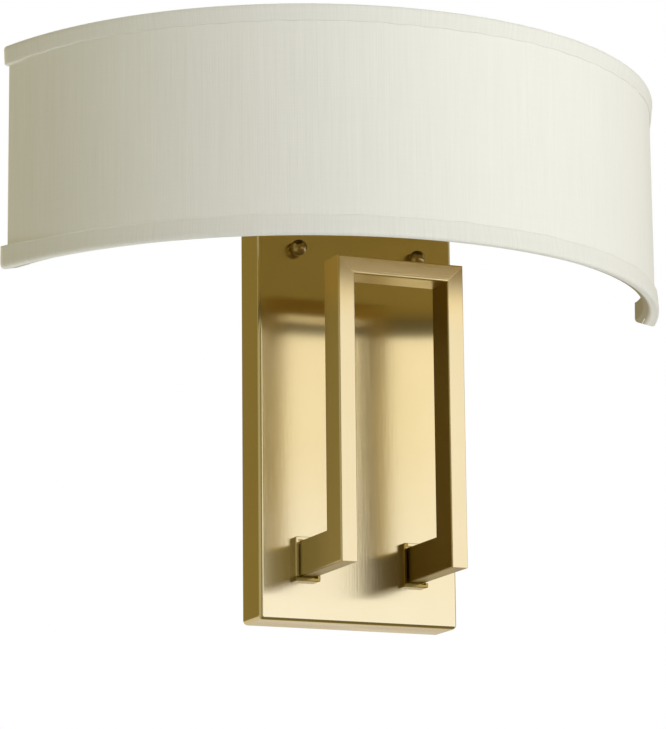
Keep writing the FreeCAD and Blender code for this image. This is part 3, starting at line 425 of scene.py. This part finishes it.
def moulded(name, dark, light, rough):
    """A moulded plastic with a fine mould texture and a little unevenness in its gloss."""
    make = Finish(name)
    texture = make.noise(make.place, (1800, 1800, 1800), detail=2)
    slow = make.noise(make.place, (45, 45, 45))
    return make.surface(Base_Color=make.mix(slow.spread(), dark, light),
                        Roughness=rough + 0.1 * slow + 0.06 * texture, Normal=make.bump(texture, 0.000015))


def frosted_glass():
    """Glass frosted on the inside, which looks milky, smooth and a little glossy."""
    make = Finish("frosted_glass")
    frost = make.noise(make.place, (1200, 1200, 1200))
    slow = make.noise(make.place, (30, 30, 30))
    tone = make.mix(slow.spread(), colour(238, 238, 234), colour(246, 246, 243))
    return make.surface(Base_Color=tone, Roughness=0.16 + 0.1 * frost, Coat_Weight=0.3,
                        Coat_Roughness=0.08, Normal=make.bump(frost, 0.000006))


# The finish of each material slot
finishes = {
    "satin_brass": satin_brass("satin_brass", *BRASS, brushed_upright, rough=0.145, spread=0.9),
    "linen": linen("linen", *LINEN, along=22),
    # The trim's inner leaf is darkened with painted shade
    "linen_trim": linen("linen_trim", *TRIM_LINEN, along=30, inner_shade_tone=PAINTED_SHADE_LINEN),
    "white_liner": styrene_liner(),
    "white_paint": white_paint(),
    "zinc": zinc("zinc"),
    "green_screw": green_screw(),
    "thumb_brass": turned_metal("thumb_brass", colour(206, 174, 108), colour(224, 194, 128), 0.22),
    "black_moulding": moulded("black_moulding", colour(24, 23, 22), colour(36, 35, 33), 0.35),
    "plain_brass": turned_metal("plain_brass", colour(196, 160, 84), colour(216, 182, 104), 0.28),
    "cap_metal": turned_metal("cap_metal", colour(198, 196, 190), colour(214, 212, 206), 0.3),
    "frosted_glass": frosted_glass(),
    "black_lead_cover": moulded("black_lead_cover", colour(26, 26, 26), colour(38, 38, 37), 0.42),
    "white_lead_cover": moulded("white_lead_cover", colour(226, 225, 219), colour(236, 235, 230), 0.42),
    "bare_copper": turned_metal("bare_copper", colour(196, 122, 88), colour(216, 146, 108), 0.26),
    "connector_cap": moulded("connector_cap", colour(198, 98, 32), colour(216, 116, 44), 0.38),
}

# The nodes whose finish is a variant of their slot's
# The ball nuts' darker brass is painted shade
painted_shade_nut_brass = satin_brass("satin_brass_nuts_painted_shade", *SHADED_NUT_TONES, brushed_upright, rough=0.26, spread=0.0)
variants = {
    # The U and its collars carry painted shade, and the U a painted reflection at its top
    "u_frame": satin_brass("satin_brass_tube", *TUBE_BRASS, brushed_along_tube, rough=0.32, spread=0.0,
                           painted_light=tube_painted_light),
    "frame_collars": satin_brass("satin_brass_collars", *BRASS, brushed_upright, rough=0.145, spread=0.9,
                                 painted_light=tube_painted_light),
    "left_ball_nut": painted_shade_nut_brass,
    "right_ball_nut": painted_shade_nut_brass,
}
for name, screw in SCREWS.items():
    variants[name] = zinc("zinc_" + name, screw)

for row in frame["record"]["subparts"]:
    node = frame["nodes"][row["node"]]
    finish = variants.get(row["node"], finishes[row["material_slot"]])
    if not node.material_slots:
        node.data.materials.append(finish)
    for slot in node.material_slots:
        slot.material = finish


# Shade cloth


def new_piece(name, points, faces, cloth_map, slot_name, thickness):
    """A smooth piece of cloth from its middle surface, given its thickness by Solidify."""
    mesh = bpy.data.meshes.new(name)
    mesh.from_pydata(points.reshape(-1, 3).tolist(), [], faces.tolist())
    layer = mesh.uv_layers.new(name="cloth")
    corners = np.empty(len(mesh.loops), dtype=np.int32)
    mesh.loops.foreach_get("vertex_index", corners)
    layer.data.foreach_set("uv", cloth_map.reshape(-1, 2)[corners].astype(np.float32).ravel())
    mesh.polygons.foreach_set("use_smooth", np.ones(len(mesh.polygons), dtype=bool))
    mesh.materials.append(finishes[slot_name])
    mesh.update()
    piece = add_object(name, mesh)
    wall = piece.modifiers.new("thickness", "SOLIDIFY")
    wall.thickness = thickness
    wall.offset = 0.0
    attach(piece, FIXTURE)
    return piece


def grid_faces(rows, columns):
    """The quads of a grid of points, as four indices each."""
    first = (np.arange(rows - 1)[:, None] * columns + np.arange(columns - 1)).ravel()
    return np.stack([first, first + 1, first + columns + 1, first + columns], axis=1)


def along_path(points):
    """The distance along a line of points, from its start."""
    steps = np.linalg.norm(np.diff(points, axis=0), axis=1)
    return np.concatenate([[0.0], np.cumsum(steps)])


def bend(start, corner, end, count):
    """A curve from start to end that leans into the corner: a quadratic with the corner as its pull.

    The two ends themselves are left out.
    """
    t = np.linspace(0, 1, count)[1:-1, None]
    return (1 - t) ** 2 * start + 2 * t * (1 - t) * corner + t ** 2 * end


def on_arc(radius, angle):
    """Points of an arc about the shade's axis, by the angle from straight ahead."""
    return np.stack([radius * np.sin(angle), AXIS_Y - radius * np.cos(angle)], axis=-1)


def cloth_line():
    """The cloth in plan: the front arc, a turn round each end wire and a hem inside, from left to right."""
    rear = -(REAR_GAP + CLOTH_THICKNESS / 2)
    outer_end = math.acos((AXIS_Y - rear) / CLOTH_RADIUS)
    inner_end = math.acos((AXIS_Y - rear) / HEM_RADIUS)
    round_off = 0.002
    outer_stop = outer_end - round_off / CLOTH_RADIUS
    inner_stop = inner_end - round_off / HEM_RADIUS
    front = on_arc(CLOTH_RADIUS, np.linspace(0, outer_stop, ARC_POINTS))
    outer_corner, inner_corner = on_arc(CLOTH_RADIUS, outer_end), on_arc(HEM_RADIUS, inner_end)
    across = (inner_corner - outer_corner) / np.linalg.norm(inner_corner - outer_corner)
    hem = on_arc(HEM_RADIUS, np.linspace(inner_stop, inner_end - HEM_LENGTH / HEM_RADIUS, HEM_POINTS))
    strip = np.stack([outer_corner + round_off * across, inner_corner - round_off * across])
    half = np.concatenate([front, bend(front[-1], outer_corner, strip[0], BEND_POINTS), strip,
                           bend(strip[1], inner_corner, hem[0], BEND_POINTS), hem])
    mirrored = half[:0:-1] * np.array([-1.0, 1.0])
    return np.concatenate([mirrored, half])


def shade_cloth():
    """The cloth's line in plan carried straight up, with the hems cut away where the brackets pass."""
    line = cloth_line()
    levels = np.unique(np.concatenate([np.linspace(CLOTH_LOW, CLOTH_HIGH, CLOTH_LEVELS), NOTCH]))
    distance = along_path(line)
    points = np.empty((len(levels), len(line), 3))
    points[..., 0], points[..., 1] = line[:, 0], line[:, 1]
    points[..., 2] = levels[:, None]
    cloth_map = np.stack(np.broadcast_arrays(distance, levels[:, None]), axis=-1)
    faces = grid_faces(len(levels), len(line))
    row, column = faces[:, 0] // len(line), faces[:, 0] % len(line)
    low, high = np.searchsorted(levels, NOTCH)
    hems = (column < HEM_POINTS - 1) | (column >= len(line) - HEM_POINTS)
    faces = faces[~(hems & (row >= low) & (row < high))]
    piece = new_piece("shade_cloth", points, faces, cloth_map, "linen", CLOTH_THICKNESS)
    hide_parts("shade_fabric")


shade_cloth()


def trim_profile(height, full, tuck):
    """The strip in section, from its outer free edge, round the roll at the shade's edge, to its inner one.

    Each point is a radius and a distance from the shade's edge. The outer leaf leans out towards the roll,
    and the underside slopes up and in. With the section go the shifts of its radius at the shade's ends,
    where the outer leaf stands at the full radius and the inner leaf is tucked in.
    """
    half = TRIM_THICKNESS / 2
    outside = SHADE_RADIUS - half
    inside = HEM_RADIUS - CLOTH_THICKNESS / 2 - INNER_PROUD + half
    outer_edge = np.array([CLOTH_RADIUS + CLOTH_THICKNESS / 2 + OUTER_PROUD - half, height])
    roll_start = np.array([outside - OUTER_LEAN, ROLL])
    roll_end = np.array([outside - ROLL, half + ROLL_RISE])
    turn_start = np.array([inside + TURN, half + TURN_RISE])
    turn_end = np.array([inside, 2 * TURN])
    inner_edge = np.array([inside + INNER_LEAN, height])
    outer = np.linspace(outer_edge, roll_start, OUTER_LEAF_POINTS)
    roll = bend(roll_start, np.array([outside, half]), roll_end, ROLL_POINTS)
    turn = bend(turn_start, np.array([inside, half + TURN]), turn_end, TURN_POINTS)
    inner = np.linspace(turn_end, inner_edge, INNER_LEAF_POINTS)
    end_radius = full - half
    shifts = np.concatenate([[0.0], end_radius - outer[1:, 0], np.full(len(roll) + 1, end_radius - outside),
                             np.full(1 + len(turn) + len(inner), -tuck)])
    return np.concatenate([outer, roll, [roll_end, turn_start], turn, inner]), shifts


def trim(name, node, edge, inward, height, full, tuck, ends, seed):
    """The strip's section carried round the shade's axis and stopped in one plane just off the wall.

    The angle at each point is a share of the angle at which its own radius meets that plane. The eighth
    power of the share brings in the shifts at the ends, times a number for each end, and makes the strip
    a fifth taller there. The free edge wanders a little up and down, as a hand-glued strip does: by sine
    waves whose heights and phases are drawn at random.
    """
    section, shifts = trim_profile(height, full, tuck)
    shares = np.linspace(-1, 1, TRIM_STEPS)
    near_end = shares[:, None] ** 8
    radius = section[:, 0] + shifts * near_end * np.where(shares < 0, *ends)[:, None]
    reach = np.arccos((AXIS_Y + REAR_GAP) / radius)
    angle = shares[:, None] * reach
    rng = np.random.default_rng(seed)
    waves = sum(rng.normal(0, WAVE_HEIGHT) * np.sin(2 * math.pi * count * shares + rng.uniform(0, 6.28))
                for count in WAVES)
    free = np.clip(section[:, 1] / height, 0, 1) ** 2
    level = edge + inward * (section[:, 1] * (1 + 0.2 * near_end) + waves[:, None] * free)
    points = np.concatenate([on_arc(radius, angle), level[..., None]], axis=-1)
    distance = along_path(section)
    half_length = SHADE_RADIUS * float(reach[0, 0])
    cloth_map = np.stack(np.broadcast_arrays(shares[:, None] * half_length, distance), axis=-1)
    faces = grid_faces(len(shares), len(section))
    if inward < 0:
        faces = faces[:, ::-1]
    piece = new_piece(name, points, faces, cloth_map, "linen_trim", TRIM_THICKNESS)
    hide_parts(node)


trim("top_band", "top_trim", edge=SHADE_TOP, inward=-1, height=0.0095, full=0.2038, tuck=0.0004,
     ends=(0.7, 1.0), seed=3)
trim("bottom_band", "bottom_trim", edge=SHADE_BOTTOM, inward=1, height=0.0110, full=0.2044, tuck=0.0018,
     ends=(1.0, 1.7), seed=4)


# Floor, lamps and world

BLACK, WHITE = (0, 0, 0, 1), (1, 1, 1, 1)

# What is mirrored: the room, a panel in front on the right, and the parts low behind and on the left
ROOM_FRONT, ROOM_BACK = (0.21, 0.175, 0.085, 1), (0.30, 0.225, 0.07, 1)
PANEL_HIGH, PANEL_LOW = (1.36, 1.25, 1.26, 1), (1.44, 1.50, 2.1, 1)
LOW_BACK, FAR_LEFT = (0.82, 0.74, 0.66, 1), (0.55, 0.52, 0.40, 1)

# The soft light on everything that isn't a mirror
SOFT_FRONT, SOFT_BACK = (0.085, 0.075, 0.05, 1), (0.46, 0.42, 0.30, 1)
SOFT_BELOW = (1.35, 1.35, 1.32, 1)

LAMP_DISTANCE, LAMP_SIZE = 2.5, 1.2


def floor():
    """A pale floor well below the light, which glows for the camera alone and isn't mirrored."""
    mesh = bpy.data.meshes.new("floor")
    half, level = 12.0, -2.4
    corners = [(-half, -half, level), (half, -half, level), (half, half, level), (-half, half, level)]
    mesh.from_pydata(corners, [], [(0, 1, 2, 3)])
    make = Finish("floor")
    mottle = make.noise(make.place, (3, 3, 3))
    tone = make.mix(mottle, colour(226, 224, 220), colour(232, 230, 227))
    glow = make.mix(make.rays("Camera"), BLACK, tone)
    mesh.materials.append(make.surface(Base_Color=tone, Roughness=0.7, Emission_Color=glow,
                                       Emission_Strength=0.8))
    ground = add_object("floor", mesh)
    ground.visible_glossy = ground.visible_diffuse = False


def lamp(name, bearing, height, power, tint):
    """A square soft lamp that faces the origin, at a bearing in degrees right of straight ahead.

    Metal doesn't mirror it, because the world already holds what metal sees.
    """
    turn = math.radians(bearing)
    place = Vector((LAMP_DISTANCE * math.sin(turn), -LAMP_DISTANCE * math.cos(turn), height))
    data = bpy.data.lights.new(name, "AREA")
    data.color = tint
    data.size, data.energy = LAMP_SIZE, power
    made = add_object(name, data)
    facing = (-place).to_track_quat("-Z", "Y")
    made.matrix_world = Matrix.Translation(place) @ facing.to_matrix().to_4x4()
    made.visible_glossy = False


def studio():
    """The world: white for the camera and through glass, a room in reflections, and soft light elsewhere.

    Each part of the room has smooth edges, given by how far a direction points right, back and up.
    """
    world = bpy.data.worlds.new("studio")
    bpy.context.scene.world = world
    make = Tree(world)
    right, back, up = make.parts(make.node("ShaderNodeTexCoord", output="Generated"))
    in_front = right.step(-0.2, 0.12) * back.step(0.35, -0.2) * up.step(0.85, 0.4) * up.step(-0.50, -0.28)
    low_behind = back.step(0.2, 0.6) * up.step(0.02, -0.14)
    far_left = right.step(-0.5, -0.68) * back.step(0.6, 0.3)
    room = make.mix(back.step(-0.3, 0.5), ROOM_FRONT, ROOM_BACK)
    panel = make.mix(up.step(0.20, 0.13), PANEL_HIGH, PANEL_LOW)
    mirrored = make.mix(in_front, room, panel)
    mirrored = make.mix(low_behind, mirrored, LOW_BACK)
    mirrored = make.mix(far_left, mirrored, FAR_LEFT)
    soft = make.mix(back.step(-0.6, 0.6), SOFT_FRONT, SOFT_BACK)
    soft = make.mix(up.step(-0.55, -0.8), soft, SOFT_BELOW)
    tone = make.mix(make.rays("Glossy"), soft, mirrored)
    tone = make.mix(make.rays("Camera").most(make.rays("Transmission")), tone, WHITE)
    background = make.node("ShaderNodeBackground", None, {"Color": tone, "Strength": 1.0})
    make.node("ShaderNodeOutputWorld", None, {"Surface": background})


floor()
lamp("key", bearing=19, height=0.7, power=54, tint=(1.0, 1.0, 0.985))
lamp("side", bearing=-110, height=0.2, power=12.8, tint=(1.0, 0.94, 0.58))
studio()
bpy.context.scene.view_settings.view_transform = "Standard"
